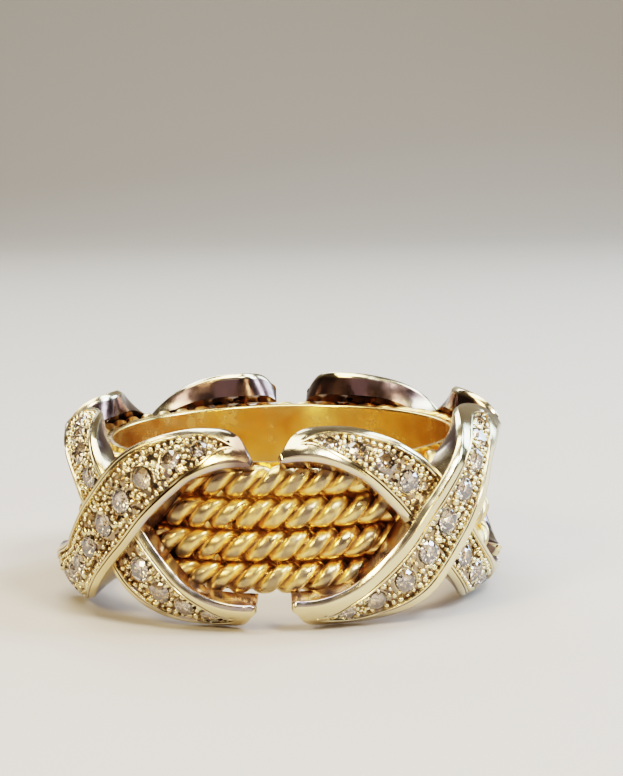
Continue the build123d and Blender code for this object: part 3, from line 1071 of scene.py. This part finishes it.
def metal(name, look):
    """A polished precious metal with handling marks, painted shade and, where it is marked, bright cuts."""
    material, shades = new_material(name)
    tone = shades.group("tone", {
        "Clean": (*look.clean, 1), "Second Tone": (*look.second, 1), "Dark": (*look.dark, 1),
        "Depth": look.depth, "Rubbed": (*look.rubbed, 1),
    })
    wear = shades.group("wear", {
        "Least Roughness": look.rough[0], "Most Roughness": look.rough[1],
        "Dent Scale": look.dents[0], "Dent Depth": look.dents[1],
    })
    relief = {"Height": wear["Height"], "Strength": 1.0, "Distance": look.scratch}
    if look.cuts:
        relief["Normal"] = shades.group("cuts", {"Scale": look.cuts[0], "Tilt": look.cuts[1]})["Normal"]
    shades.end_material({
        "Base Color": tone["Color"], "Metallic": 1.0, "Roughness": wear["Roughness"],
        "Normal": shades.add("ShaderNodeBump", relief).outputs[0],
    })
    return material


def diamond_material():
    """Clear cut stone with faint warm tints."""
    material, shades = new_material("diamond")
    cloud = shades.noise(shades.place(), STONE_CLOUD_SCALE, 1.0)
    shades.end_material({
        "Base Color": shades.blend(cloud, *STONE_TINTS), "Metallic": 0.0, "Roughness": 0.0,
        "IOR": STONE_IOR, "Transmission Weight": 1.0,
    })
    return material


def dressed(piece, material):
    """Gives a piece its material and its place in the model."""
    piece.data.materials.clear()
    piece.data.materials.append(material)
    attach(piece, BODY)


def area_light(box):
    """A softbox that faces the ring's middle."""
    data = bpy.data.lights.new(box.name, "AREA")
    data.shape = "RECTANGLE"
    data.size, data.size_y = box.size, box.height or box.size
    data.energy = box.power
    data.color = box.colour
    lamp = put_in_scene(box.name, data)
    lamp.location = box.place
    lamp.rotation_euler = (Vector((0, 0, MIDDLE)) - Vector(box.place)).to_track_quat("-Z", "Y").to_euler()


def build_stage():
    """A pale floor that sweeps up behind the ring."""
    outline = [(FLOOR_FRONT, 0.0)]
    for angle in np.linspace(0, math.pi / 2, SWEEP_STEPS):
        outline.append((
            FLOOR_BACK - SWEEP_RADIUS + SWEEP_RADIUS * math.sin(angle), SWEEP_RADIUS * (1 - math.cos(angle)),
        ))
    outline.append((FLOOR_BACK, SWEEP_TOP))
    verts, faces = [], []
    for y, z in outline:
        verts += [(-FLOOR_HALF, y, z), (FLOOR_HALF, y, z)]
    for first in range(0, 2 * len(outline) - 2, 2):
        faces.append((first, first + 1, first + 3, first + 2))
    floor = new_object("floor", verts, faces)
    floor.data.shade_smooth()
    material, shades = new_material("pale_floor")
    shades.end_material({"Base Color": FLOOR_COLOUR, "Roughness": FLOOR_ROUGHNESS})
    floor.data.materials.append(material)


def build_camera():
    """The camera, placed and turned as the photograph's."""
    angles = (CAMERA_AZIMUTH, CAMERA_ELEVATION, CAMERA_ROLL)
    azimuth, elevation, roll = (math.radians(angle) for angle in angles)
    level = math.cos(elevation)
    back = Vector((math.sin(azimuth) * level, -math.cos(azimuth) * level, math.sin(elevation)))
    centre = Vector((0, 0, MIDDLE))
    flat_right = Vector((math.cos(azimuth), math.sin(azimuth), 0))
    place = centre + back * CAMERA_DISTANCE
    aim = centre + flat_right * CAMERA_AIM[0] + back.cross(flat_right) * CAMERA_AIM[1]
    backwards = (place - aim).normalized()
    right = Vector((0, 0, 1)).cross(backwards).normalized()
    up = backwards.cross(right)
    rolled_right = right * math.cos(roll) + up * math.sin(roll)
    rolled_up = up * math.cos(roll) - right * math.sin(roll)
    data = bpy.data.cameras.new("camera")
    data.sensor_width = SENSOR
    data.lens = FOCAL_PIXELS * SENSOR / PHOTO_HEIGHT
    data.clip_start, data.clip_end = CAMERA_CLIPS
    camera = put_in_scene("camera", data)
    camera.matrix_world = Matrix((
        (rolled_right.x, rolled_up.x, backwards.x, place.x),
        (rolled_right.y, rolled_up.y, backwards.y, place.y),
        (rolled_right.z, rolled_up.z, backwards.z, place.z),
        (0, 0, 0, 1),
    ))
    bpy.context.scene.camera = camera


GROUPS = {"tone": painted_shade_group(), "wear": wear_group(), "cuts": facet_group()}
metals = {name: metal(name, look) for name, look in METALS.items()}
diamond = diamond_material()

build_camera()
build_stage()

band = build_band()
dressed(band, metals["band_gold"])
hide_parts("inner_band")

ropes = rope_plan()
for number in range(1, ROPE_COUNT + 1):
    strands = ropes.run(new_object("rope_seed", [(0, 0, 0)], []), {
        "Centre": ROPE_CENTRE,
        "Level": MIDDLE - OUTER_ROPE + (number - 1) * ROPE_PITCH,
        "Lead": (number - 1) * ROPE_LEAD,
        "Turns": ROPE_TURNS,
        "Radius": ROPE_RADIUS,
        "Waist": ROPE_WAIST,
        "Fullness": ROPE_FULLNESS,
        "Samples": ROPE_SAMPLES,
        "Sides": ROPE_SIDES,
        "Material": metals["yellow_gold"],
    }, "twisted_rope_%d" % number)
    strands.data.shade_smooth()
    strands.data.set_sharp_from_angle(angle=SHARP_ANGLE)
    dressed(strands, metals["yellow_gold"])
    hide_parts("rope_%d" % number)

stone_plan = setting_plan("stone_plan", True)
bead_plan = setting_plan("bead_plan", False)
pattern = brilliant()
for number in range(1, CROSS_COUNT + 1):
    cross = build_cross(number)
    dressed(cross, metals["white_metal"])
    beads = bead_plan.run(points_object("bead_seed", bead_places(number)), {
        "Size": BEAD_RADIUS, "Seed": number, "Variation": BEAD_VARIATION, "Material": metals["bead_metal"],
    }, "beads_%d" % number)
    dressed(beads, metals["bead_metal"])
    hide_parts("cross_%d" % number)
    stones = stone_plan.run(points_object("stone_seed", stone_places(number)), {
        "Size": 1.0, "Seed": number, "Variation": 0.0, "Material": diamond, "Pattern": pattern,
    }, "brilliants_%d" % number)
    dressed(stones, diamond)
    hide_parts("stones_%d" % number)
bpy.data.objects.remove(pattern)

for box in SOFTBOXES:
    area_light(box)

world = bpy.data.worlds.new("studio")
world.use_nodes = True
background = world.node_tree.nodes["Background"].inputs
background["Color"].default_value = WORLD_COLOUR
background["Strength"].default_value = WORLD_STRENGTH
bpy.context.scene.world = world
bpy.context.scene.view_settings.view_transform = "Filmic"
bpy.context.scene.view_settings.look = "Medium High Contrast"
